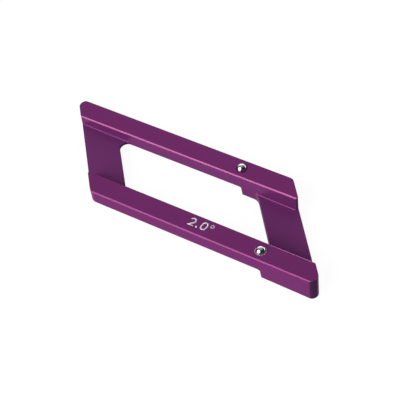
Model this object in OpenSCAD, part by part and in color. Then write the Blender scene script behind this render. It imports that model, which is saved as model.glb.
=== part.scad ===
// Base edge bevel guide for skis and snowboards.
// A skewed aluminium frame of two rails joined by two webs, with a polished steel ball set in each rail.
// The foot face at the right lies on the ski base. A file lies under the thinner left part of the rails,
// against the shoulder, and the seat over it leans by the bevel angle.
// X runs along the rails, Y across them to the rear rail, Z up from the foot face. Sizes are in millimetres.

/* [Rails] */
// Length of one rail along X
rail_length = 120; // [105:1:135]
// Width of one rail
rail_width = 10; // [8:0.5:14]
// Clear width of the channel between the rails
channel_width = 27; // [21:0.5:38]
// Height of a rail over the file seat
rail_thickness = 7.15; // [5.5:0.05:9]
// Plan angle between the rails and the slanted ends
skew_angle = 50; // [45:1:65]

/* [Bevel] */
// Angle of the file seat and of the rail tops to the foot face
bevel_angle = 2; // [0.5:0.25:2.5]
// Length of the foot along a rail, from the right end to the shoulder
foot_length = 30; // [26:0.5:38]
// Height of the file space at the shoulder
relief_height = 4.95; // [4.4:0.05:7]
// Radius of the fillet between the file seat and the shoulder
shoulder_fillet = 1.2; // [0.6:0.1:2.2]

/* [Webs] */
// Length of the thin left web along a rail
left_web_length = 21.2; // [14:0.1:29]
// Length of the thick right web along a rail
right_web_length = 21.6; // [14:0.1:24]
// Least thickness of the left web, at the window
left_web_thickness = 1.4; // [1:0.05:2]
// Radius of the cove between a rail and a web
cove_radius = 0.6; // [0.3:0.1:1.2]

/* [Corners] */
// Plan radius of the two sharp corners of the frame
sharp_corner_radius = 3.1; // [1.5:0.1:4.5]
// Plan radius of the two blunt corners of the frame
blunt_corner_radius = 4.7; // [2:0.1:7]
// Plan radius of the two sharp corners of the window
window_sharp_radius = 3.4; // [2:0.1:4.5]
// Plan radius of the two blunt corners of the window
window_blunt_radius = 4.7; // [2:0.1:6]
// Plan radius of the inner corners at the rail ends, over the webs
inner_corner_radius = 0.9; // [0.4:0.1:1.5]
// Leg of the chamfer along the rail tops
top_chamfer = 0.5; // [0.2:0.05:0.9]
// Leg of the chamfer along the outer edges of the foot and of the file seat
sole_chamfer = 0.2; // [0.1:0.05:0.4]

/* [Balls] */
// Diameter of a steel ball
ball_diameter = 4.76; // [3:0.01:6]
// Depth of a ball centre under the rail top
ball_sink = 0.35; // [0.3:0.05:0.8]
// Distance of the ball line from the shoulder, along a rail
ball_setback = 1.75; // [0:0.05:6]
// Leg of the chamfer at the mouth of a ball seat
seat_chamfer = 0.35; // [0.1:0.05:0.45]
// Depth of the drill point under a ball seat
seat_point = 0.6; // [0.4:0.1:1]
// Radial clearance of a ball in its seat
seat_clearance = 0.01; // [0.005:0.005:0.03]

/* [Hidden] */
$fn = 96;
overshoot = 1;
half_length = rail_length / 2;
half_channel = channel_width / 2;
frame_width = channel_width + 2 * rail_width;
half_width = frame_width / 2;
rail_axis = half_channel + rail_width / 2;
rail_slope = tan(bevel_angle) * sin(skew_angle);
shoulder_at = half_length - foot_length;
window_left = left_web_length - half_length;
window_right = half_length - right_web_length;
window_length = window_right - window_left;
web_top = seat_z(window_left) + left_web_thickness;
block_height = top_z(half_length) + overshoot;
reach = rail_length + frame_width / tan(skew_angle);
ball_radius = ball_diameter / 2;
seat_radius = ball_radius + seat_clearance;
end_dir = [-cos(skew_angle), sin(skew_angle)];
rail_dir = [1, 0];

// X of a point that lies s along a rail from the middle, at y across the frame
function skew_x(s, y) = s - y / tan(skew_angle);

// Height of the file seat at s along a rail
function seat_z(s) = relief_height + rail_slope * (s - shoulder_at);

// Height of the rail tops at s along a rail
function top_z(s) = seat_z(s) + rail_thickness;

// Length of a vector in the plane
function length_of(v) = sqrt(v[0] * v[0] + v[1] * v[1]);

// Distance from a corner to where a fillet of radius r meets its sides
function tangent_run(r, angle) = r / tan(angle / 2);

// Centre of a fillet of radius r in a corner whose sides leave along p and q
function fillet_centre(corner, p, q, r, angle) = corner + (p + q) / length_of(p + q) * r / sin(angle / 2);

// Turns children about the direction of the slanted ends, from level to the bevel angle
module bevelled() {
    rotate(a = -bevel_angle, v = [end_dir[0], end_dir[1], 0])
        children();
}

// Parallelogram along X with true arcs at its sharp and blunt corners
module skewed_plate(half_len, half_wid, sharp_r, blunt_r) {
    front_left = [skew_x(-half_len, -half_wid), -half_wid];
    front_right = [skew_x(half_len, -half_wid), -half_wid];
    rear_right = [skew_x(half_len, half_wid), half_wid];
    rear_left = [skew_x(-half_len, half_wid), half_wid];
    sharp_run = tangent_run(sharp_r, skew_angle);
    blunt_run = tangent_run(blunt_r, 180 - skew_angle);
    polygon([
        front_left + rail_dir * blunt_run,
        front_right - rail_dir * sharp_run,
        front_right + end_dir * sharp_run,
        rear_right - end_dir * blunt_run,
        rear_right - rail_dir * blunt_run,
        rear_left + rail_dir * sharp_run,
        rear_left - end_dir * sharp_run,
        front_left + end_dir * blunt_run
    ]);
    translate(fillet_centre(front_left, rail_dir, end_dir, blunt_r, 180 - skew_angle))
        circle(r = blunt_r);
    translate(fillet_centre(front_right, -rail_dir, end_dir, sharp_r, skew_angle))
        circle(r = sharp_r);
    translate(fillet_centre(rear_right, -rail_dir, -end_dir, blunt_r, 180 - skew_angle))
        circle(r = blunt_r);
    translate(fillet_centre(rear_left, rail_dir, -end_dir, sharp_r, skew_angle))
        circle(r = sharp_r);
}

// Waste of a rounded corner whose sides leave along p and q, reaching out past both sides
module corner_waste(corner, p, q, r) {
    angle = acos(p * q);
    run = tangent_run(r, angle);
    centre = fillet_centre(corner, p, q, r, angle);
    reach_out = (r + overshoot) / r;
    difference() {
        polygon([
            centre,
            centre + (corner + p * run - centre) * reach_out,
            centre + (corner - centre) * reach_out,
            centre + (corner + q * run - centre) * reach_out
        ]);
        translate(centre)
            circle(r = r);
    }
}

// Waste of the four inner corners at the rail ends, over the webs
module inner_corner_waste() {
    for (side = [-1, 1], end = [-1, 1])
        translate([0, 0, web_top])
            linear_extrude(height = block_height)
                corner_waste([skew_x(end * half_length, side * half_channel), side * half_channel],
                    -end * rail_dir, side * end_dir, inner_corner_radius);
}

// Section of the channel between the rails, with coves at its floor
module channel_section() {
    lip = block_height + overshoot;
    polygon([
        [cove_radius - half_channel, web_top],
        [half_channel - cove_radius, web_top],
        [half_channel, web_top + cove_radius],
        [half_channel, lip],
        [-half_channel, lip],
        [-half_channel, web_top + cove_radius]
    ]);
    for (side = [-1, 1])
        translate([side * (half_channel - cove_radius), web_top + cove_radius])
            circle(r = cove_radius);
}

// Section of the file space, seen along the slanted ends: leaning seat, fillet and upright shoulder
module relief_section() {
    corner = [shoulder_at * sin(skew_angle), relief_height];
    along_seat = [-cos(bevel_angle), -sin(bevel_angle)];
    down = [0, -1];
    turn = 90 - bevel_angle;
    run = tangent_run(shoulder_fillet, turn);
    seat_end = corner + along_seat * reach;
    polygon([
        corner + along_seat * run,
        corner + down * run,
        [corner[0], -reach],
        [seat_end[0], -reach],
        seat_end
    ]);
    translate(fillet_centre(corner, along_seat, down, shoulder_fillet, turn))
        circle(r = shoulder_fillet);
}

// Everything above the leaning rail tops
module over_tops() {
    translate([0, 0, top_z(0)])
        bevelled()
            translate([-reach, -reach, 0])
                cube([2 * reach, 2 * reach, reach]);
}

// Bar that breaks an edge running along X at y, rising with the bevel, with its middle at height z
module edge_break(y, z, rise, leg) {
    bar = leg * sqrt(2);
    translate([0, y, z])
        rotate([0, -atan(rise), 0])
            rotate([45, 0, 0])
                cube([2 * reach, bar, bar], center = true);
}

// Breaks of the long edges: rail tops, foot and file seat
module long_edge_breaks() {
    for (y = [-half_width, -half_channel, half_channel, half_width])
        edge_break(y, top_z(y / tan(skew_angle)), rail_slope, top_chamfer);
    for (y = [-half_width, half_width]) {
        edge_break(y, 0, 0, sole_chamfer);
        intersection() {
            edge_break(y, seat_z(y / tan(skew_angle)), rail_slope, sole_chamfer);
            translate([skew_x(shoulder_at, y) - 2 * reach - shoulder_fillet, -reach, -reach])
                cube([2 * reach, 2 * reach, 2 * reach]);
        }
    }
}

// Places children at a ball centre, with Z square to the rail top
module at_ball(side) {
    s = shoulder_at + ball_setback;
    y = side * rail_axis;
    translate([skew_x(s, y), y, top_z(s)])
        bevelled()
            translate([0, 0, -ball_sink])
                children();
}

// Drilled seat of one ball with its mouth chamfer and drill point
module ball_seat() {
    rotate_extrude()
        polygon([
            [0, -ball_radius - seat_point],
            [seat_radius, -ball_radius],
            [seat_radius, ball_sink - seat_chamfer],
            [seat_radius + seat_chamfer + overshoot, ball_sink + overshoot],
            [0, ball_sink + overshoot]
        ]);
}

// One-piece frame: two rails, the thin left web, the thick right web and the foot
module guide_frame() {
    color([0.34, 0.10, 0.30])
        difference() {
            linear_extrude(height = block_height)
                skewed_plate(half_length, half_width, sharp_corner_radius, blunt_corner_radius);
            rotate([90, 0, 90])
                linear_extrude(height = 2 * reach, center = true)
                    channel_section();
            translate([(window_left + window_right) / 2, 0, -overshoot])
                linear_extrude(height = block_height + 2 * overshoot)
                    skewed_plate(window_length / 2, half_channel, window_sharp_radius, window_blunt_radius);
            rotate([90, 0, 90 - skew_angle])
                linear_extrude(height = 2 * reach, center = true)
                    relief_section();
            over_tops();
            long_edge_breaks();
            inner_corner_waste();
            at_ball(-1)
                ball_seat();
            at_ball(1)
                ball_seat();
        }
}

// Polished steel ball pressed into one rail
module steel_ball(side) {
    color([0.80, 0.81, 0.82])
        at_ball(side)
            sphere(r = ball_radius);
}

// Ball in the front rail
module front_ball() {
    steel_ball(-1);
}

// Ball in the rear rail
module rear_ball() {
    steel_ball(1);
}

guide_frame();
front_ball();
rear_ball();
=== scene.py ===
"""Studio scene of a base edge bevel guide: an anodised frame with two steel balls and a printed angle.

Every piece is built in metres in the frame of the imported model. X runs along the rails, Y across them
to the rear rail and Z up from the foot face.
"""

import logging
import math
from collections.abc import Sequence
from dataclasses import dataclass
from enum import Enum

import bmesh
import bpy
import numpy as np
from bpy.types import Material, Mesh, Node, NodeSocket, NodeTree, Object
from mathutils import Matrix, Vector
from numpy.typing import NDArray


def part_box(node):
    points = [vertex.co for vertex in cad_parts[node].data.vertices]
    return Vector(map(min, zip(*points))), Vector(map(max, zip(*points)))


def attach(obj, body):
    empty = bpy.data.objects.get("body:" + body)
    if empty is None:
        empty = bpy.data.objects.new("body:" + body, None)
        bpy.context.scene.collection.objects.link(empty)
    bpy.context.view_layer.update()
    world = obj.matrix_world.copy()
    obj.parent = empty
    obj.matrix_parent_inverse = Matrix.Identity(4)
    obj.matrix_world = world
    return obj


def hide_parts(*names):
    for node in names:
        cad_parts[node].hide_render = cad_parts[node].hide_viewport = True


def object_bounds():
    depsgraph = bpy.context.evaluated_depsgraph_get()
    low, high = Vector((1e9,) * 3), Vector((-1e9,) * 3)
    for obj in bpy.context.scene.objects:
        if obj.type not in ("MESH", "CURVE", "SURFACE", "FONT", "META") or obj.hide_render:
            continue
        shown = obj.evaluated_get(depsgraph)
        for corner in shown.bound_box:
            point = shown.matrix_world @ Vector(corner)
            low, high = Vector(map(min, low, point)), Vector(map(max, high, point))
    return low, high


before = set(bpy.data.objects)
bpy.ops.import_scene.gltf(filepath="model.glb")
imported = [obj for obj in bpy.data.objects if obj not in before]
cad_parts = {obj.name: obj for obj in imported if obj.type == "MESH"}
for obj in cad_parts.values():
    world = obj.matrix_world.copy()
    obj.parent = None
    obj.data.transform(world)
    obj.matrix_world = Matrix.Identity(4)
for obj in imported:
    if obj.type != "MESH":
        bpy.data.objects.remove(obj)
CAD_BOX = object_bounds()

LOG = logging.getLogger("bevel_guide")
MM = 0.001
BODY = "root"
IMAGE_PIXELS = 400
SENSOR_MM = 36.0
NOISE_MIDDLE = 0.5
TOP_LEAN_DEGREES = (1.0, 3.0)

Array = NDArray[np.float64]
Colour = tuple[float, float, float]
Axis = tuple[float, float, float]
Span = tuple[float, float]
Mask = NDArray[np.bool_]


class Slot(Enum):
    """Material slots of the record."""

    ANODISED = "anodised_aluminium"
    STEEL = "polished_steel"


class Rail(Enum):
    """The two rails, by the node of the ball that sits in each."""

    FRONT = "front_ball"
    REAR = "rear_ball"


class NodeSheet:
    """Adds and wires the nodes of one node tree."""

    def __init__(self, tree: NodeTree) -> None:
        """Clears the tree and starts on it.

        Args:
            tree: Tree of a material, a world or a node group.
        """
        self.tree = tree
        tree.nodes.clear()

    def add(self, kind: str, **settings: object) -> Node:
        """Adds one node.

        Args:
            kind: Blender's name of the node type.
            settings: Properties of the node to set.

        Returns:
            The new node.
        """
        node = self.tree.nodes.new(kind)
        for name, value in settings.items():
            setattr(node, name, value)
        return node

    def feed(self, socket: NodeSocket, source: object) -> None:
        """Links a socket to another socket, or sets its value.

        Args:
            socket: Input socket.
            source: Output socket, number, colour or vector.
        """
        if isinstance(source, NodeSocket):
            self.tree.links.new(source, socket)
        else:
            socket.default_value = source

    def math(self, operation: str, *terms: object) -> NodeSocket:
        """Adds a Math node.

        Args:
            operation: Name of the operation.
            terms: Numbers or output sockets.

        Returns:
            The node's output.
        """
        node = self.add("ShaderNodeMath", operation=operation)
        for socket, term in zip(node.inputs, terms):
            self.feed(socket, term)
        return node.outputs[0]

    def ramp(self, value: object, low: float, high: float, start: float, end: float) -> NodeSocket:
        """Adds a smooth Map Range node.

        Args:
            value: What is mapped.
            low: Value that maps to start.
            high: Value that maps to end.
            start: Result at low and under it.
            end: Result at high and over it.

        Returns:
            The mapped value.
        """
        node = self.add("ShaderNodeMapRange", interpolation_type="SMOOTHSTEP")
        for socket, term in zip(node.inputs, (value, low, high, start, end)):
            self.feed(socket, term)
        return node.outputs["Result"]

    def blend(self, factor: object, first: object, second: object) -> NodeSocket:
        """Adds a colour mix.

        Args:
            factor: Share of the second colour.
            first: Colour at factor 0.
            second: Colour at factor 1.

        Returns:
            The mixed colour.
        """
        node = self.add("ShaderNodeMix", data_type="RGBA")
        self.feed(node.inputs["Factor"], factor)
        self.feed(node.inputs["A"], opaque(first))
        self.feed(node.inputs["B"], opaque(second))
        return node.outputs["Result"]

    def noise(self, scale: Axis, detail: float) -> NodeSocket:
        """Adds noise on Object coordinates.

        Args:
            scale: Waves per metre along each axis.
            detail: Octaves of the noise.

        Returns:
            The noise value, about 0.5 on average.
        """
        stretch = self.add("ShaderNodeMapping")
        self.feed(stretch.inputs["Vector"], self.place())
        self.feed(stretch.inputs["Scale"], scale)
        noise = self.add("ShaderNodeTexNoise")
        self.feed(noise.inputs["Vector"], stretch.outputs["Vector"])
        self.feed(noise.inputs["Scale"], 1.0)
        self.feed(noise.inputs["Detail"], detail)
        return noise.outputs["Fac"]

    def band(self, value: object, low: float, high: float, fade: float) -> NodeSocket:
        """Masks the values between two limits.

        Args:
            value: What is masked.
            low: Lower limit.
            high: Upper limit.
            fade: Length of the soft run outside each limit.

        Returns:
            1 between the limits and 0 past the soft runs.
        """
        begun = self.ramp(value, low - fade, low, 0.0, 1.0)
        ended = self.ramp(value, high, high + fade, 1.0, 0.0)
        return self.math("MULTIPLY", begun, ended)

    def bump(self, height: object, depth: float) -> NodeSocket:
        """Adds a Bump node.

        Args:
            height: Relief of the surface.
            depth: Depth in metres of a relief of 1.

        Returns:
            The normal of the rough surface.
        """
        node = self.add("ShaderNodeBump")
        self.feed(node.inputs["Distance"], depth)
        self.feed(node.inputs["Height"], height)
        return node.outputs["Normal"]

    def mix(self, factor: object, first: object, second: object) -> NodeSocket:
        """Adds a mix of two shaders.

        Args:
            factor: Share of the second shader.
            first: Shader at factor 0.
            second: Shader at factor 1.

        Returns:
            The mixed shader.
        """
        node = self.add("ShaderNodeMixShader")
        for socket, term in zip(node.inputs, (factor, first, second)):
            self.feed(socket, term)
        return node.outputs["Shader"]

    def attribute(self, name: str) -> NodeSocket:
        """Adds a reading of a mesh attribute and returns its value."""
        return self.add("ShaderNodeAttribute", attribute_name=name).outputs["Fac"]

    def place(self) -> NodeSocket:
        """Adds the Object coordinates and returns them."""
        return self.add("ShaderNodeTexCoord").outputs["Object"]

    def group(self, tree: NodeTree, **values: float) -> dict[str, NodeSocket]:
        """Places a node group.

        Args:
            tree: The group.
            values: Values of its inputs.

        Returns:
            Its outputs by name.
        """
        node = self.add("ShaderNodeGroup", node_tree=tree)
        for name, value in values.items():
            self.feed(node.inputs[name], value)
        return dict(node.outputs.items())


def opaque(colour: object) -> object:
    """Gives a plain colour its alpha of 1.

    Args:
        colour: Three numbers, or an output socket.

    Returns:
        Four numbers, or the socket as it is.
    """
    if isinstance(colour, NodeSocket):
        return colour
    return (*colour, 1.0)


def new_group(name: str, inputs: Sequence[str], outputs: Sequence[str]) -> NodeTree:
    """Makes an empty shader node group.

    Args:
        name: Name of the group.
        inputs: Names of its inputs, all numbers.
        outputs: Names of its outputs, all numbers.

    Returns:
        The group.
    """
    group = bpy.data.node_groups.new(name, "ShaderNodeTree")
    for side, sockets in (("INPUT", inputs), ("OUTPUT", outputs)):
        for socket in sockets:
            group.interface.new_socket(socket, in_out=side, socket_type="NodeSocketFloat")
    return group


@dataclass(frozen=True)
class SatinGrain:
    """Shared effect: the fine pits of an etched surface and the lines left along it by the tool.

    Both come as values about 0.5. Pits are even noise, lines are noise drawn out along X. Cloud is the
    pits about 0, times the input Haze. Relief is the pits plus the lines times the input Scoring.
    """

    pit_size: float = 0.16 * MM
    line_width: float = 0.22 * MM
    line_length: float = 9.0 * MM
    octaves: float = 2.0

    def tree(self) -> NodeTree:
        """Builds the node group.

        Returns:
            The group, with the inputs Haze and Scoring and the outputs Pits, Lines, Cloud and Relief.
        """
        group = new_group("satin_grain", ("Haze", "Scoring"), ("Pits", "Lines", "Cloud", "Relief"))
        sheet = NodeSheet(group)
        given = sheet.add("NodeGroupInput").outputs
        out = sheet.add("NodeGroupOutput").inputs
        pit = 1.0 / self.pit_size
        line = 1.0 / self.line_width
        pits = sheet.noise((pit, pit, pit), self.octaves)
        lines = sheet.noise((1.0 / self.line_length, line, line), self.octaves)
        swing = sheet.math("SUBTRACT", pits, NOISE_MIDDLE)
        scored = sheet.math("MULTIPLY", lines, given["Scoring"])
        sheet.feed(out["Pits"], pits)
        sheet.feed(out["Lines"], lines)
        sheet.feed(out["Cloud"], sheet.math("MULTIPLY", swing, given["Haze"]))
        sheet.feed(out["Relief"], sheet.math("ADD", pits, scored))
        return group


@dataclass(frozen=True)
class Handling:
    """Shared effect: broad patches left by hands and uneven dye, as a value about 0.5.

    The input Contrast widens them.
    """

    patch_size: float = 17.0 * MM
    octaves: float = 3.0

    def tree(self) -> NodeTree:
        """Builds the node group.

        Returns:
            The group, with the input Contrast and the output Patches.
        """
        group = new_group("handling", ("Contrast",), ("Patches",))
        sheet = NodeSheet(group)
        given = sheet.add("NodeGroupInput").outputs
        out = sheet.add("NodeGroupOutput").inputs
        patch = 1.0 / self.patch_size
        swing = sheet.math("SUBTRACT", sheet.noise((patch, patch, patch), self.octaves), NOISE_MIDDLE)
        wide = sheet.math("MULTIPLY", swing, given["Contrast"])
        sheet.feed(out["Patches"], sheet.math("ADD", wide, NOISE_MIDDLE))
        return group


@dataclass(frozen=True)
class Effects:
    """The node groups that the finishes share."""

    grain: NodeTree
    handling: NodeTree


@dataclass(frozen=True)
class AnodisedFinish:
    """Dyed, satin anodised aluminium.

    Attributes of the mesh, from 0 to 1, say where it differs: chamfers are paler, partly from wear and
    partly as painted highlight, coves paler as painted highlight, milled floors duller, and the corners
    facing the dark side of the room greyer and more mirror-like as painted shade. A bright lip runs round
    one pressed ball, and a thin painted highlight, a line of reflected light, runs along the front rail's
    inner edge over the foot.
    """

    lip_centre: Axis
    edge_and_highlight_attribute: str = "worn_and_highlighted_edge"
    floor_attribute: str = "milled_floor"
    shaded_corner_attribute: str = "shaded_corner"

    dye: Colour = (0.180, 0.029, 0.150)
    faded_dye: Colour = (0.190, 0.032, 0.158)
    # Pale dye of chamfers and coves: partly wear, partly painted highlight that brightens their lines of
    # reflected light.
    pale_edge_and_highlight_dye: Colour = (0.270, 0.074, 0.176)
    milled_dye: Colour = (0.174, 0.036, 0.162)
    # Painted shade: a greyer tone for the corner faces that face the dark side of the room.
    corner_shade_dye: Colour = (0.28, 0.115, 0.30)
    # Painted highlight: bright pink for a line of reflected light on the front rail's inner edge.
    painted_highlight_dye: Colour = (0.92, 0.31, 0.74)
    bare: Colour = (0.85, 0.74, 0.80)
    sheen_tint: Colour = (1.0, 0.55, 0.9)
    contrast: float = 1.0
    fade_span: Span = (0.1, 0.5)
    rub_span: Span = (0.2, 0.6)
    least_rub: float = 0.85

    metallic: float = 0.5
    # Metal of the pale edges, which are partly worn and partly painted highlight.
    edge_metallic: float = 0.32
    light_metallic: float = 0.22
    light_wear: float = 0.5
    milled_metallic: float = 0.2
    # Painted shade: a nearly mirror finish that darkens those corners by reflecting the dark side of the
    # room.
    corner_shade_metallic: float = 0.92

    gloss: float = 0.04
    roughness: float = 0.16
    milled_roughness: float = 0.42
    haze: float = 0.06
    pit_depth: float = 0.0015 * MM
    scoring: float = 0.5

    lip_span: Span = (2.42 * MM, 2.60 * MM)
    lip_fade: float = 0.05 * MM
    # Place of the painted highlight line on the front rail's inner edge.
    painted_highlight_across: Span = (-14.06 * MM, -13.53 * MM)
    painted_highlight_fade: float = 0.03 * MM
    painted_highlight_along: Span = (44.0 * MM, 50.0 * MM)
    painted_highlight_over: float = 6.0 * MM

    def material(self, effects: Effects) -> Material:
        """Builds the material.

        Args:
            effects: The shared node groups.

        Returns:
            The finished material.
        """
        material = new_material(Slot.ANODISED.value)
        sheet = NodeSheet(material.node_tree)
        grain = sheet.group(effects.grain, Haze=self.haze, Scoring=self.scoring)
        hands = sheet.group(effects.handling, Contrast=self.contrast)
        shader = principled(sheet)
        shader.inputs["Specular IOR Level"].default_value = self.gloss
        shader.inputs["Specular Tint"].default_value = opaque(self.sheen_tint)
        floor = sheet.attribute(self.floor_attribute)
        satin = sheet.ramp(floor, 0.0, 1.0, self.roughness, self.milled_roughness)
        sheet.feed(shader.inputs["Base Color"], self.colour(sheet, grain["Lines"], hands["Patches"]))
        sheet.feed(shader.inputs["Metallic"], self.metal(sheet))
        sheet.feed(shader.inputs["Roughness"], sheet.math("ADD", satin, grain["Cloud"]))
        sheet.feed(shader.inputs["Normal"], sheet.bump(grain["Relief"], self.pit_depth))
        return material

    def colour(self, sheet: NodeSheet, lines: NodeSocket, patches: NodeSocket) -> NodeSocket:
        """Lays the colours over each other, from the dye to the bare lip.

        Args:
            sheet: Sheet of the material.
            lines: Lines of the satin grain.
            patches: Patches of the handling.

        Returns:
            The colour.
        """
        fade = sheet.math("MULTIPLY", patches, lines)
        body = sheet.blend(sheet.ramp(fade, *self.fade_span, 0.0, 1.0), self.dye, self.faded_dye)
        milled = sheet.blend(sheet.attribute(self.floor_attribute), body, self.milled_dye)
        # Painted shade on the corners that face the dark side of the room.
        corner_shade = sheet.blend(sheet.attribute(self.shaded_corner_attribute), milled, self.corner_shade_dye)
        # Pale chamfers and coves: partly wear, partly painted highlight.
        uneven = sheet.ramp(patches, *self.rub_span, self.least_rub, 1.0)
        wear_and_highlight = sheet.math("MULTIPLY", sheet.attribute(self.edge_and_highlight_attribute), uneven)
        edged = sheet.blend(wear_and_highlight, corner_shade, self.pale_edge_and_highlight_dye)
        # Painted highlight: a bright pink line of reflected light along the front rail's inner edge.
        painted_highlighted = sheet.blend(self.painted_highlight(sheet), edged, self.painted_highlight_dye)
        return sheet.blend(self.lip(sheet), painted_highlighted, self.bare)

    def metal(self, sheet: NodeSheet) -> NodeSocket:
        """Share of metal in the reflections: less where milled and on the pale edges, which are partly
        worn and partly painted highlight; more on the corners that face the dark side, as painted shade.

        Args:
            sheet: Sheet of the material.

        Returns:
            The share.
        """
        edge = sheet.attribute(self.edge_and_highlight_attribute)
        corner = sheet.attribute(self.shaded_corner_attribute)
        floor = sheet.attribute(self.floor_attribute)
        plain = sheet.ramp(floor, 0.0, 1.0, self.metallic, self.milled_metallic)
        # Painted shade: more metal on those corners, so they reflect the dark side of the room.
        corner_shade = sheet.math("MULTIPLY", corner, self.corner_shade_metallic - self.metallic)
        # Less metal on the pale edges, which are partly worn and partly painted highlight.
        light = sheet.ramp(edge, 0.0, self.light_wear, 0.0, self.light_metallic - self.metallic)
        heavy = sheet.ramp(edge, self.light_wear, 1.0, 0.0, self.edge_metallic - self.light_metallic)
        worn = sheet.math("ADD", light, heavy)
        return sheet.math("ADD", sheet.math("ADD", plain, corner_shade), worn)

    def lip(self, sheet: NodeSheet) -> NodeSocket:
        """Masks the metal between two distances from the middle of the pressed ball.

        Args:
            sheet: Sheet of the material.

        Returns:
            1 on the lip and 0 off it.
        """
        reach = sheet.add("ShaderNodeVectorMath", operation="DISTANCE")
        sheet.feed(reach.inputs[0], sheet.place())
        sheet.feed(reach.inputs[1], self.lip_centre)
        return sheet.band(reach.outputs["Value"], *self.lip_span, self.lip_fade)

    def painted_highlight(self, sheet: NodeSheet) -> NodeSocket:
        """Masks the painted highlight on the front rail's inner top edge, a line standing for a
        reflection, which starts softly over the foot.

        Args:
            sheet: Sheet of the material.

        Returns:
            1 on the painted highlight and 0 off it.
        """
        place = sheet.add("ShaderNodeSeparateXYZ")
        sheet.feed(place.inputs["Vector"], sheet.place())
        across = sheet.band(place.outputs["Y"], *self.painted_highlight_across, self.painted_highlight_fade)
        along = sheet.ramp(place.outputs["X"], *self.painted_highlight_along, 0.0, 1.0)
        over = sheet.math("GREATER_THAN", place.outputs["Z"], self.painted_highlight_over)
        return sheet.math("MULTIPLY", across, sheet.math("MULTIPLY", along, over))


@dataclass(frozen=True)
class SteelFinish:
    """Lapped and polished hardened steel."""

    dull_tone: Colour = (0.71, 0.725, 0.735)
    bright_tone: Colour = (0.83, 0.825, 0.835)
    contrast: float = 0.5
    roughness: float = 0.05
    haze: float = 0.03

    def material(self, effects: Effects) -> Material:
        """Builds the material.

        Args:
            effects: The shared node groups.

        Returns:
            The finished material.
        """
        material = new_material(Slot.STEEL.value)
        sheet = NodeSheet(material.node_tree)
        grain = sheet.group(effects.grain, Haze=self.haze)
        hands = sheet.group(effects.handling, Contrast=self.contrast)
        tone = sheet.blend(hands["Patches"], self.dull_tone, self.bright_tone)
        shader = principled(sheet)
        shader.inputs["Metallic"].default_value = 1.0
        sheet.feed(shader.inputs["Base Color"], tone)
        sheet.feed(shader.inputs["Roughness"], sheet.math("ADD", grain["Cloud"], self.roughness))
        return material


@dataclass(frozen=True)
class InkFinish:
    """Pale printed ink, thin enough to follow the pits under it but not the tool's lines."""

    ink: Colour = (0.82, 0.81, 0.84)
    thin_ink: Colour = (0.72, 0.70, 0.74)
    thin_span: Span = (0.35, 0.7)
    roughness: float = 0.55
    pit_depth: float = 0.003 * MM
    scoring: float = 0.0

    def material(self, effects: Effects) -> Material:
        """Builds the material.

        Args:
            effects: The shared node groups.

        Returns:
            The finished material.
        """
        material = new_material("pale_ink")
        sheet = NodeSheet(material.node_tree)
        grain = sheet.group(effects.grain, Scoring=self.scoring)
        thin = sheet.ramp(grain["Pits"], *self.thin_span, 0.0, 1.0)
        shader = principled(sheet)
        shader.inputs["Roughness"].default_value = self.roughness
        sheet.feed(shader.inputs["Base Color"], sheet.blend(thin, self.ink, self.thin_ink))
        sheet.feed(shader.inputs["Normal"], sheet.bump(grain["Relief"], self.pit_depth))
        return material


def new_material(name: str) -> Material:
    """Makes an empty node material, in place of one of the same name that came with the frame.

    Args:
        name: Name of the material.

    Returns:
        The material.
    """
    old = bpy.data.materials.get(name)
    if old is not None:
        old.name = name + ".plain"
    material = bpy.data.materials.new(name)
    material.use_nodes = True
    return material


def principled(sheet: NodeSheet) -> Node:
    """Adds a Principled shader wired to the material's output.

    Args:
        sheet: Sheet of the material.

    Returns:
        Node of the shader.
    """
    shader = sheet.add("ShaderNodeBsdfPrincipled")
    out = sheet.add("ShaderNodeOutputMaterial")
    sheet.feed(out.inputs["Surface"], shader.outputs["BSDF"])
    return shader


def grid_quads(rows: int, columns: int, closed_rows: bool, closed_columns: bool) -> NDArray[np.int64]:
    """Faces of a grid of points numbered row by row.

    Args:
        rows: Number of rows.
        columns: Number of points in a row.
        closed_rows: Whether the last row joins the first.
        closed_columns: Whether the last column joins the first.

    Returns:
        One row of four point numbers for each face.
    """
    row = np.arange(rows if closed_rows else rows - 1)
    column = np.arange(columns if closed_columns else columns - 1)
    r, c = np.meshgrid(row, column, indexing="ij")
    r_next = (r + 1) % rows
    c_next = (c + 1) % columns
    corners = ((r, c), (r, c_next), (r_next, c_next), (r_next, c))
    quads = np.stack([i * columns + j for i, j in corners], -1)
    return quads.reshape(-1, 4)


def make_piece(name: str, points: Array, faces: Sequence[Sequence[int]]) -> Object:
    """Makes a smooth shaded piece at the origin.

    Args:
        name: Name of the piece.
        points: One row of X, Y, Z in metres for each vertex.
        faces: Vertex numbers of each face.

    Returns:
        The object, linked to the scene.
    """
    mesh = bpy.data.meshes.new(name)
    mesh.from_pydata(points.tolist(), [], faces)
    mesh.polygons.foreach_set("use_smooth", np.ones(len(mesh.polygons), dtype=bool))
    mesh.update()
    piece = bpy.data.objects.new(name, mesh)
    bpy.context.scene.collection.objects.link(piece)
    return piece


@dataclass(frozen=True)
class FaceTable:
    """Outward directions, middles and areas of a mesh's faces, one row for each face."""

    normals: Array
    centres: Array
    areas: Array

    @classmethod
    def read_from(cls, mesh: Mesh) -> "FaceTable":
        """Reads the table of a mesh.

        Args:
            mesh: The mesh.

        Returns:
            Its table.
        """
        count = len(mesh.polygons)
        normals = np.empty(count * 3)
        centres = np.empty(count * 3)
        areas = np.empty(count)
        mesh.polygons.foreach_get("normal", normals)
        mesh.polygons.foreach_get("center", centres)
        mesh.polygons.foreach_get("area", areas)
        return cls(normals.reshape(-1, 3), centres.reshape(-1, 3), areas)

    def rise(self) -> Array:
        """Upward part of each direction: 1 for a level face and 0 for an upright one."""
        return self.normals[:, 2]

    def across(self) -> Array:
        """Level part of each direction: 0 for a level face and 1 for an upright one."""
        return np.hypot(self.normals[:, 0], self.normals[:, 1])


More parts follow.
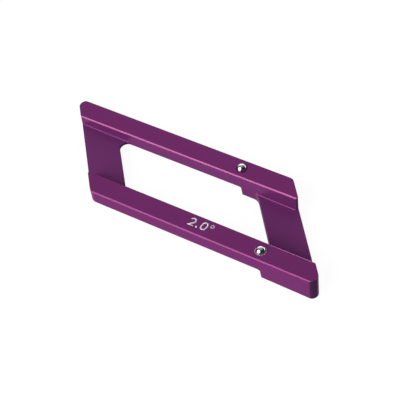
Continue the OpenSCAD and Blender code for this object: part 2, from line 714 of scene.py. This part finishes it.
@dataclass(frozen=True)
class RailTop:
    """The leaning plane of the rail tops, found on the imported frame.

    Its height over X and Y is offset + slope_x * X + slope_y * Y. It rises square to the slanted ends.
    """

    offset: float
    slope_x: float
    slope_y: float

    @classmethod
    def found_on(cls, node: Object) -> "RailTop":
        """Fits the plane to the upward faces that lean by about the bevel angle.

        Args:
            node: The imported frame.

        Returns:
            The plane.
        """
        faces = FaceTable.read_from(node.data)
        lean = np.degrees(np.arccos(np.clip(faces.rise(), -1.0, 1.0)))
        least, most = TOP_LEAN_DEGREES
        tops = (lean > least) & (lean < most)
        normal = np.average(faces.normals[tops], axis=0, weights=faces.areas[tops])
        centre = np.average(faces.centres[tops], axis=0, weights=faces.areas[tops])
        slope_x = -normal[0] / normal[2]
        slope_y = -normal[1] / normal[2]
        return cls(centre[2] - slope_x * centre[0] - slope_y * centre[1], slope_x, slope_y)

    def along(self, x: Array | float, y: Array | float) -> Array | float:
        """Distance along X of the points x, y from the slanted line through the part's middle."""
        return x + y * self.slope_y / self.slope_x

    def height(self, x: Array, y: Array) -> Array:
        """Height of the plane over the points x, y."""
        return self.offset + self.slope_x * x + self.slope_y * y

    def normal(self) -> Array:
        """Unit vector square to the plane, upwards."""
        square = np.array([-self.slope_x, -self.slope_y, 1.0])
        return square / np.linalg.norm(square)


@dataclass
class DressedFrame:
    """The machined frame with its sharp edges softened and its faces marked for the finish.

    The marks say how far a face is worn or carries painted highlight, how far it is milled, and which
    corners carry painted shade.
    """

    top: RailTop
    node: str = "guide_frame"
    name: str = "dressed_frame"

    # Joining the triangles and softening the edges.
    merge_gap: float = 0.02 * MM
    clean_gap: float = 0.001 * MM
    flat_angle: float = math.radians(0.3)
    sharp_angle: float = math.radians(28.0)
    edge_softness: float = 0.06 * MM
    least_softness: float = 0.008 * MM
    short_share: float = 0.3
    window_softness: float = 0.3 * MM
    web_half: float = 12.9 * MM
    run_out: float = 2.5 * MM
    edge_steps: int = 2

    # Telling the faces apart by place and direction. Shares of length are of half the part's length.
    chamfer_depth: float = 0.6 * MM
    chamfer_across: Span = (0.6, 0.8)
    chamfer_rise: float = 0.5
    rim_reach: float = 3.0 * MM
    window_share: float = 0.75
    level_rise: float = 0.99995
    cove_rise: Span = (0.3, 0.95)
    wall_lean: float = 0.1
    # Corners at the right ends that face the dark side of the room and get painted shade.
    corner_share: float = 0.65
    corner_bearings: Span = (-70.0, -5.0)
    corner_across: float = 0.9

    # How far the faces are worn or carry painted highlight, or are milled, from 0 to 1.
    # The rear chamfers get more pale dye than the front ones so that their lines of light look brighter:
    # partly wear, partly painted highlight.
    front_edge_wear_and_highlight: float = 0.5
    rear_edge_wear_and_highlight: float = 1.0
    # On the coves the pale dye is painted highlight that brightens the lines of light along them.
    right_cove_highlight: float = 0.45
    left_cove_highlight: float = 0.15
    left_cove_milled: float = 0.7
    wall_milled: float = 0.5

    def build(self) -> Object:
        """Joins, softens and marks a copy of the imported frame.

        Returns:
            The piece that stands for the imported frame.
        """
        mesh = self.joined()
        piece = bpy.data.objects.new(self.name, mesh)
        bpy.context.scene.collection.objects.link(piece)
        soft = self.softened(piece)
        piece.modifiers.clear()
        piece.data = soft
        bpy.data.meshes.remove(mesh)
        soft.name = self.name
        self.mark_faces(soft)
        shading = piece.modifiers.new("flat_faces", "WEIGHTED_NORMAL")
        shading.keep_sharp = True
        return piece

    def joined(self) -> Mesh:
        """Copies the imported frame, joins its loose triangles into faces and weighs its edges.

        Returns:
            The joined mesh, smooth shaded.
        """
        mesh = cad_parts[self.node].data.copy()
        shape = bmesh.new()
        shape.from_mesh(mesh)
        bmesh.ops.remove_doubles(shape, verts=shape.verts, dist=self.merge_gap)
        bmesh.ops.dissolve_limit(shape, angle_limit=self.flat_angle, verts=shape.verts, edges=shape.edges)
        bmesh.ops.dissolve_degenerate(shape, edges=shape.edges, dist=self.merge_gap)
        self.weigh_edges(shape)
        shape.to_mesh(mesh)
        shape.free()
        mesh.polygons.foreach_set("use_smooth", np.ones(len(mesh.polygons), dtype=bool))
        return mesh

    def softened(self, piece: Object) -> Mesh:
        """Bevels the weighed edges and joins points that the bevel leaves in one place.

        Args:
            piece: Object of the joined mesh.

        Returns:
            The softened mesh.
        """
        bevel = piece.modifiers.new("softened_edges", "BEVEL")
        bevel.limit_method = "WEIGHT"
        bevel.width = self.window_softness
        bevel.segments = self.edge_steps
        bevel.use_clamp_overlap = False
        graph = bpy.context.evaluated_depsgraph_get()
        soft = bpy.data.meshes.new_from_object(piece.evaluated_get(graph), depsgraph=graph)
        shape = bmesh.new()
        shape.from_mesh(soft)
        bmesh.ops.remove_doubles(shape, verts=shape.verts, dist=self.clean_gap)
        shape.to_mesh(soft)
        shape.free()
        return soft

    def weigh_edges(self, shape: bmesh.types.BMesh) -> None:
        """Stores how far each sharp edge is softened.

        The webs' edges at the window get the most and run out towards the rails. Any other edge gets no
        more than a share of the shortest edge next to it.

        Args:
            shape: Joined mesh of the frame.
        """
        weight = shape.edges.layers.float.new("bevel_weight_edge")
        half_window = self.window_share * CAD_BOX[1][0]
        for edge in shape.edges:
            if len(edge.link_faces) != 2 or edge.calc_face_angle() < self.sharp_angle:
                continue
            shortest = min(near.calc_length() for end in edge.verts for near in end.link_edges)
            softness = min(self.edge_softness, self.short_share * shortest)
            middle = (edge.verts[0].co + edge.verts[1].co) / 2.0
            level = max(face.normal.z for face in edge.link_faces) > self.level_rise
            inside = abs(self.top.along(middle.x, middle.y)) < half_window
            if level and inside:
                gap = max(self.web_half - abs(middle.y), 0.0)
                softness = self.window_softness * min(gap / self.run_out, 1.0)
            if softness > self.least_softness:
                edge[weight] = softness / self.window_softness
            else:
                edge.smooth = False

    def mark_faces(self, mesh: Mesh) -> None:
        """Stores how far each face is worn or carries painted highlight, how far it is milled, and which
        corners carry painted shade.

        Args:
            mesh: Softened mesh of the frame.
        """
        faces = FaceTable.read_from(mesh)
        x, y, z = faces.centres.T
        deep = self.top.height(x, y) - z > self.chamfer_depth
        along = np.abs(self.top.along(x, y)) / CAD_BOX[1][0]
        least, most = self.cove_rise
        coves = deep & (along < self.window_share) & (faces.rise() > least) & (faces.rise() < most)
        marks = {
            AnodisedFinish.edge_and_highlight_attribute: self.wear_and_highlight(faces, deep, coves),
            AnodisedFinish.floor_attribute: self.milled(faces, deep, coves),
            AnodisedFinish.shaded_corner_attribute: self.corner_shade(faces, along),
        }
        for name, share in marks.items():
            mark = mesh.attributes.new(name, "FLOAT", "FACE")
            mark.data.foreach_set("value", share.astype(np.float32))

    def wear_and_highlight(self, faces: FaceTable, deep: Mask, coves: Mask) -> Array:
        """Pale marks of the chamfers along the rail tops, partly wear and partly painted highlight, and
        of the coves and window edges, which are painted highlight. Mouths of ball seats have none.

        Args:
            faces: Faces of the frame.
            deep: Which faces lie under the chamfers.
            coves: Which are coves over the webs, or the webs' broken edges at the window.

        Returns:
            Share of pale dye from 0 to 1.
        """
        x, y, _ = faces.centres.T
        least, most = self.chamfer_across
        slanted = (faces.across() > least) & (faces.across() < most) & (faces.rise() > self.chamfer_rise)
        balls = [np.mean(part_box(rail.value), axis=0) for rail in Rail]
        gap = np.min([np.linalg.norm(faces.centres - ball, axis=1) for ball in balls], axis=0)
        chamfers = slanted & ~deep & (gap >= self.rim_reach)
        # Chamfer marks are partly wear and partly painted highlight; cove marks are painted highlight.
        edge_wear_and_highlight = np.where(y > 0.0, self.rear_edge_wear_and_highlight, self.front_edge_wear_and_highlight)
        cove_highlight = np.where(x < 0.0, self.left_cove_highlight, self.right_cove_highlight)
        return np.where(coves, cove_highlight, edge_wear_and_highlight * chamfers)

    def milled(self, faces: FaceTable, deep: Mask, coves: Mask) -> Array:
        """How far the web floors, the channel's walls and the left coves have the duller, milled finish.

        Args:
            faces: Faces of the frame.
            deep: Which faces lie under the chamfers.
            coves: Which are coves over the webs, or the webs' broken edges at the window.

        Returns:
            Share from 0 to 1.
        """
        x, y, _ = faces.centres.T
        inward = faces.normals[:, 1] * np.sign(y) < -self.wall_lean
        walls = (inward | (faces.rise() > self.wall_lean)) & ~coves
        partly = self.wall_milled * walls + self.left_cove_milled * (coves & (x < 0.0))
        return np.where(faces.rise() > self.level_rise, 1.0, partly) * deep

    def corner_shade(self, faces: FaceTable, along: Array) -> Mask:
        """Finds the rounded corners at the right ends of the rails by the bearing that they face: those
        facing the dark side of the room, which get painted shade.

        Args:
            faces: Faces of the frame.
            along: Distance of each face along the rails, as a share of half the part's length.

        Returns:
            Which faces are the corners that get painted shade.
        """
        bearing = np.degrees(np.arctan2(faces.normals[:, 1], faces.normals[:, 0]))
        low, high = self.corner_bearings
        facing = (bearing > low) & (bearing < high)
        return facing & (faces.across() > self.corner_across) & (along > self.corner_share)

    def dress(self, piece: Object, finish: Material) -> None:
        """Gives the frame its finish and its place in the table.

        Args:
            piece: The built frame.
            finish: Its material.
        """
        piece.data.materials.clear()
        piece.data.materials.append(finish)
        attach(piece, BODY)
        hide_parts(self.node)


@dataclass
class PolishedBall:
    """One steel ball of its rail, with its pole square to the rail top."""

    rail: Rail
    top: RailTop
    meridians: int = 96
    parallels: int = 48

    def build(self) -> Object:
        """Surface of a sphere over two angles.

        A point at longitude u and polar angle v is
        centre + radius * (sin v * (cos u * a + sin u * b) + cos v * n),
        with n square to the rail top and a, b square to n. Rings between the poles are quads, the poles
        fans.

        Returns:
            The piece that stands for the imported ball.
        """
        low, high = (np.array(corner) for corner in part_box(self.rail.value))
        centre = (low + high) / 2.0
        radius = float(np.max(high - low)) / 2.0
        n = self.top.normal()
        a = np.cross((0.0, 1.0, 0.0), n)
        a /= np.linalg.norm(a)
        b = np.cross(n, a)
        u = np.arange(self.meridians) * 2.0 * math.pi / self.meridians
        v = np.arange(1, self.parallels) * math.pi / self.parallels
        turn = np.cos(u)[None, :, None] * a + np.sin(u)[None, :, None] * b
        rings = np.sin(v)[:, None, None] * turn + np.cos(v)[:, None, None] * n
        points = centre + radius * np.concatenate([rings.reshape(-1, 3), [n, -n]])
        quads = grid_quads(len(v), len(u), False, True)[:, ::-1]
        north = len(points) - 2
        south = len(points) - 1
        ring = np.arange(self.meridians)
        ahead = (ring + 1) % self.meridians
        last = (len(v) - 1) * self.meridians
        top_fan = np.stack([np.full_like(ring, north), ring, ahead], -1)
        low_fan = np.stack([np.full_like(ring, south), last + ahead, last + ring], -1)
        faces = quads.tolist() + top_fan.tolist() + low_fan.tolist()
        return make_piece("polished_" + self.rail.value, points, faces)

    def dress(self, piece: Object, finish: Material) -> None:
        """Gives the ball its finish and its place in the table.

        Args:
            piece: The built ball.
            finish: Its material.
        """
        piece.data.materials.append(finish)
        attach(piece, BODY)
        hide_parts(self.rail.value)


@dataclass
class AngleFigure:
    """The bevel angle, 2.0 degrees, printed on the front rail in slightly slanted figures."""

    top: RailTop
    left: float = 10.25 * MM
    base: float = -20.0 * MM
    height: float = 4.45 * MM
    stroke: float = 0.62 * MM
    lean: float = math.radians(4.0)
    film: float = 0.02 * MM
    steps: int = 48
    figure_width: float = 3.15 * MM
    bowl_start: float = math.radians(165.0)
    heel_in_strokes: Span = (0.6, 0.1)
    point_at: float = 4.2 * MM
    point_size: float = 0.85 * MM
    point_power: int = 4
    point_opening: float = math.radians(12.0)
    zero_at: float = 6.15 * MM
    zero_power: float = 2.5
    ring_at: float = 10.25 * MM
    ring_size: float = 1.8 * MM
    ring_stroke: float = 0.28 * MM

    def build(self) -> Object:
        """Joins the four figures, laid on the rail top, into one thin print.

        Returns:
            The piece.
        """
        points: list[Array] = []
        faces: list[list[int]] = []
        start = 0
        for outer, inner, closed in (self.two(), self.point(), self.zero(), self.ring()):
            solid, quads = self.film_between(outer, inner, closed)
            points.append(solid)
            faces.extend((np.array(face) + start).tolist() for face in quads)
            start += len(solid)
        return make_piece("angle_figure", np.concatenate(points), faces)

    def two(self) -> tuple[Array, Array, bool]:
        """Edges of the 2: a round bowl, a straight back that leaves it as a tangent, and a flat foot.

        The tangent from the heel to a circle of radius r at distance d leaves it at acos(r / d) from the
        heel.

        Returns:
            Left edge and right edge of the stroke, and that it is open.
        """
        half = self.stroke / 2.0
        width = self.figure_width
        radius = width / 2.0 - half
        centre = np.array([width / 2.0, self.height - half - radius])
        heel = np.array(self.heel_in_strokes) * self.stroke
        away = heel - centre
        leave = math.atan2(away[1], away[0]) + math.acos(radius / np.linalg.norm(away))
        turn = np.linspace(self.bowl_start, leave, self.steps)
        ray = np.stack([np.cos(turn), np.sin(turn)], -1)
        back = heel - (centre + radius * ray[-1])
        back /= np.linalg.norm(back)
        left = centre + (radius + half) * ray
        right = centre + (radius - half) * ray
        crotch = left[-1] + back * (self.stroke - left[-1][1]) / back[1]
        shin = right[-1] - back * right[-1][0] / back[0]
        left = np.concatenate([left, [crotch, crotch + (half, 0.0), (width, self.stroke)]])
        right = np.concatenate([right, [shin, (0.0, 0.0), (width, 0.0)]])
        return left, right, False

    def point(self) -> tuple[Array, Array, bool]:
        """Edges of the point: the upper and the lower half of a rounded square, |x|^p + |y|^p = 1.

        Returns:
            Upper edge and lower edge, and that they are open.
        """
        half = self.point_size / 2.0
        turn = np.linspace(math.pi - self.point_opening, self.point_opening, self.steps)
        ray = np.stack([np.cos(turn), np.sin(turn)], -1)
        reach = np.sum(ray**self.point_power, axis=1, keepdims=True) ** (-1.0 / self.point_power)
        middle = np.array([self.point_at + half, half])
        upper = half * reach * ray
        return middle + upper, middle + upper * (1.0, -1.0), False

    def zero(self) -> tuple[Array, Array, bool]:
        """Edges of the 0: two ovals, one stroke apart.

        Returns:
            Outer edge and inner edge, and that they are closed.
        """
        across = self.figure_width / 2.0
        upward = self.height / 2.0
        middle = np.array([self.zero_at + across, upward])
        outer = self.oval(across, upward, self.zero_power)
        inner = self.oval(across - self.stroke, upward - self.stroke, self.zero_power)
        return middle + outer, middle + inner, True

    def ring(self) -> tuple[Array, Array, bool]:
        """Edges of the degree ring: two circles, one ring stroke apart.

        Returns:
            Outer edge and inner edge, and that they are closed.
        """
        radius = self.ring_size / 2.0
        middle = np.array([self.ring_at + radius, self.height - radius])
        outer = self.oval(radius, radius)
        inner = self.oval(radius - self.ring_stroke, radius - self.ring_stroke)
        return middle + outer, middle + inner, True

    def oval(self, half_width: float, half_height: float, power: float = 2.0) -> Array:
        """Points of |x/half_width|^power + |y/half_height|^power = 1, clockwise.

        Args:
            half_width: Half of its width.
            half_height: Half of its height.
            power: 2 for an ellipse, more for a squarer oval.

        Returns:
            One row of x, y for each point.
        """
        angle = -np.arange(self.steps * 2) * math.pi / self.steps
        x = np.sign(np.cos(angle)) * np.abs(np.cos(angle)) ** (2.0 / power)
        y = np.sign(np.sin(angle)) * np.abs(np.sin(angle)) ** (2.0 / power)
        return np.stack([half_width * x, half_height * y], -1)

    def film_between(self, outer: Array, inner: Array, closed: bool) -> tuple[Array, list[list[int]]]:
        """Thin solid between two edges: a rectangular profile carried along the stroke.

        Each station has four points: inner and outer edge, under and over the film. An open stroke gets
        end caps.

        Args:
            outer: Edge on the left of the stroke's direction.
            inner: Edge on its right.
            closed: Whether the stroke runs round to its start.

        Returns:
            Points in metres and faces.
        """
        under = -self.film / 2.0
        over = self.film / 2.0
        corners = ((inner, under), (outer, under), (outer, over), (inner, over))
        profile = np.stack([self.laid(edge, lift) for edge, lift in corners], 1)
        points = profile.reshape(-1, 3)
        faces = grid_quads(len(outer), len(corners), closed, True).tolist()
        if not closed:
            cap = np.arange(len(corners))
            faces += [cap[::-1].tolist(), (cap + len(points) - len(corners)).tolist()]
        return points, faces

    def laid(self, flat: Array, lift: float) -> Array:
        """Lays points of the figure on the rail top.

        Args:
            flat: Points along and up the figure.
            lift: Height over the rail top.

        Returns:
            Points in the frame of the part.
        """
        x = self.left + flat[:, 0] + flat[:, 1] * math.tan(self.lean)
        y = self.base + flat[:, 1]
        return np.stack([x, y, self.top.height(x, y) + lift], -1)

    def dress(self, piece: Object, finish: Material) -> None:
        """Gives the print its ink and lets it ride with the frame.

        Args:
            piece: The built print.
            finish: Its material.
        """
        piece.data.materials.append(finish)
        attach(piece, BODY)


@dataclass(frozen=True)
class SoftPanel:
    """One soft patch of the surroundings: even within its core, and fading from there to its rim.

    The bearing runs round Z from +X and the rise counts from the horizon. Both are in degrees, and so are
    the half angles of the core and the rim.
    """

    name: str
    bearing: float
    rise: float
    level: float
    core: float
    rim: float

    def toward(self) -> Axis:
        """Direction from the part to the panel.

        Returns:
            Unit vector.
        """
        bearing = math.radians(self.bearing)
        rise = math.radians(self.rise)
        level = math.cos(rise)
        return (level * math.cos(bearing), level * math.sin(bearing), math.sin(rise))


@dataclass
class Studio:
    """Pale floor, soft panels all round and the camera."""

    target: Axis = (2.821 * MM, 1.626 * MM, 0.0)
    distance: float = 579.99 * MM
    azimuth: float = math.radians(37.6275)
    elevation: float = math.radians(50.4258)
    roll: float = math.radians(-8.0827)
    focal_pixels: float = 1254.03
    clip_start: float = 10.0 * MM
    floor_half: float = 3.0
    floor_gap: float = 0.01 * MM
    paper: Colour = (0.85, 0.85, 0.85)
    floor_glow: float = 0.9
    glow_level: float = 1.06
    room_level: float = 0.03
    panels: tuple[SoftPanel, ...] = (
        SoftPanel("softbox", -116.0, 30.0, 6.5, 13.0, 38.0),
        SoftPanel("sky_behind", 127.6, 27.0, 0.66, 20.0, 38.0),
        SoftPanel("backdrop", 118.0, 5.0, 1.4, 14.0, 28.0),
        SoftPanel("backdrop_left", 152.0, 2.0, 1.0, 14.0, 28.0),
        SoftPanel("backdrop_right", 82.0, 2.0, 1.2, 14.0, 28.0),
        SoftPanel("backdrop_far_right", 58.0, -8.0, 0.9, 12.0, 26.0),
        SoftPanel("overhead", 118.0, 66.0, 0.31, 27.0, 48.0),
        SoftPanel("floor_in_front", -152.0, -45.0, 0.86, 39.5, 42.0),
        SoftPanel("floor_left", -165.0, -40.0, 0.18, 20.0, 40.0),
        SoftPanel("floor_right", -40.0, -50.0, 0.15, 40.0, 70.0),
        SoftPanel("floor_behind", 85.0, -48.0, 0.8, 14.0, 30.0),
    )

    def build(self) -> None:
        """Sets the floor, the world and the camera."""
        bpy.context.scene.view_settings.view_transform = "Standard"
        self.floor()
        self.world()
        self.camera()

    def floor(self) -> None:
        """Lays a level sheet of paper just under the part. Reflections leave it out."""
        half = self.floor_half
        drop = -self.floor_gap
        corners = [(-half, -half, drop), (half, -half, drop), (half, half, drop), (-half, half, drop)]
        floor = make_piece("floor", np.array(corners), [[0, 1, 2, 3]])
        floor.visible_glossy = False
        floor.visible_diffuse = False
        floor.data.materials.append(self.pale_floor())

    def pale_floor(self) -> Material:
        """Almost white paper that keeps a faint shadow and is clear from below.

        Returns:
            The material.
        """
        material = new_material("pale_floor")
        sheet = NodeSheet(material.node_tree)
        matt = sheet.add("ShaderNodeBsdfDiffuse")
        matt.inputs["Color"].default_value = opaque(self.paper)
        glow = sheet.add("ShaderNodeEmission")
        glow.inputs["Strength"].default_value = self.glow_level
        clear = sheet.add("ShaderNodeBsdfTransparent")
        seen = sheet.add("ShaderNodeLightPath").outputs["Is Camera Ray"]
        below = sheet.add("ShaderNodeNewGeometry").outputs["Backfacing"]
        lit = sheet.math("MULTIPLY", seen, self.floor_glow)
        upper = sheet.mix(lit, matt.outputs["BSDF"], glow.outputs["Emission"])
        out = sheet.add("ShaderNodeOutputMaterial")
        sheet.feed(out.inputs["Surface"], sheet.mix(below, upper, clear.outputs["BSDF"]))
        return material

    def world(self) -> None:
        """White for the camera, also through clear things. For the part, a dim room with soft panels.

        The panels near and under the horizon stand for the pale backdrop and floor in its reflections.
        """
        world = bpy.data.worlds.new("studio")
        world.use_nodes = True
        bpy.context.scene.world = world
        sheet = NodeSheet(world.node_tree)
        view = sheet.add("ShaderNodeTexCoord").outputs["Generated"]
        light: object = self.room_level
        for panel in self.panels:
            near = sheet.add("ShaderNodeVectorMath", operation="DOT_PRODUCT", label=panel.name)
            sheet.feed(near.inputs[0], view)
            sheet.feed(near.inputs[1], panel.toward())
            rim = math.cos(math.radians(panel.rim))
            core = math.cos(math.radians(panel.core))
            patch = sheet.ramp(near.outputs["Value"], rim, core, 0.0, panel.level)
            light = sheet.math("ADD", light, patch)
        rays = sheet.add("ShaderNodeLightPath")
        seen = sheet.math("MAXIMUM", rays.outputs["Is Camera Ray"], rays.outputs["Is Transmission Ray"])
        back = sheet.add("ShaderNodeBackground")
        out = sheet.add("ShaderNodeOutputWorld")
        sheet.feed(back.inputs["Strength"], sheet.math("MAXIMUM", light, seen))
        sheet.feed(out.inputs["Surface"], back.outputs["Background"])

    def camera(self) -> None:
        """Sets the camera, swung round, tipped and rolled about the point that it looks at."""
        back = Vector((
            math.sin(self.azimuth) * math.cos(self.elevation),
            -math.cos(self.azimuth) * math.cos(self.elevation),
            math.sin(self.elevation),
        ))
        level = Vector((math.cos(self.azimuth), math.sin(self.azimuth), 0.0))
        upward = back.cross(level)
        right = level * math.cos(self.roll) + upward * math.sin(self.roll)
        up = upward * math.cos(self.roll) - level * math.sin(self.roll)
        turn = Matrix((right, up, back)).transposed()
        lens = bpy.data.cameras.new("camera")
        lens.sensor_width = SENSOR_MM
        lens.lens = self.focal_pixels * SENSOR_MM / IMAGE_PIXELS
        lens.clip_start = self.clip_start
        camera = bpy.data.objects.new("camera", lens)
        eye = Vector(self.target) + back * self.distance
        camera.matrix_world = Matrix.Translation(eye) @ turn.to_4x4()
        bpy.context.scene.collection.objects.link(camera)
        bpy.context.scene.camera = camera


def report(piece: Object) -> None:
    """Logs one piece with its face count."""
    LOG.info("%s: %d faces", piece.name, len(piece.data.polygons))


def main() -> None:
    """Builds the studio, the finishes and the pieces in order."""
    logging.basicConfig(level=logging.INFO, format="%(name)s: %(message)s")
    Studio().build()
    effects = Effects(grain=SatinGrain().tree(), handling=Handling().tree())
    top = RailTop.found_on(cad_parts[DressedFrame.node])
    lip_centre = tuple(np.mean(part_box(Rail.FRONT.value), axis=0).tolist())
    anodised = AnodisedFinish(lip_centre).material(effects)
    steel = SteelFinish().material(effects)
    ink = InkFinish().material(effects)
    assemblies = [(DressedFrame(top), anodised), (AngleFigure(top), ink)]
    assemblies += [(PolishedBall(rail, top), steel) for rail in Rail]
    for assembly, finish in assemblies:
        piece = assembly.build()
        assembly.dress(piece, finish)
        report(piece)


if __name__ == "__main__":
    main()
